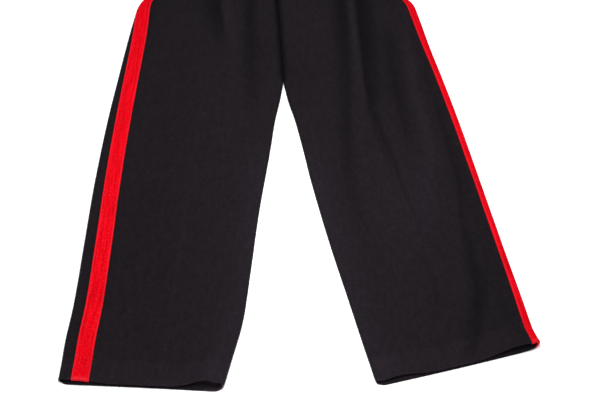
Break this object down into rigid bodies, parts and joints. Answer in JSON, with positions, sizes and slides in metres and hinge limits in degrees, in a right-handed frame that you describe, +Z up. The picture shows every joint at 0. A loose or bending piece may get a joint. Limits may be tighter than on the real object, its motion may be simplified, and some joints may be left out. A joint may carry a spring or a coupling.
{
  "type": "wool trousers",
  "caption": "Black wool uniform trousers with a scarlet stripe down each side seam, straight legs, plain hems and a buttoned waistband, laid flat with the front up",
  "frame": {"origin": "centre of the garment's box, on the floor it lies on", "axes": "+Z up from the floor, +Y from the hems to the waist, +X to the wearer's left"},
  "size_m": [0.6924, 1.032, 0.0187],
  "materials": {
    "wool": "milled black wool twill with a short nap",
    "stripe": "scarlet wool facing cloth",
    "button": "dull black, polished rim"
  },
  "bodies": {
    "root": {"front_right": "wool", "front_left": "wool", "back_right": "wool", "back_left": "wool", "side_stripe_right": "stripe", "side_stripe_left": "stripe", "waistband_right": "wool", "waistband_left": "wool", "fly_underlap": "wool", "waist_button": "button"}
  },
  "joints": []
}
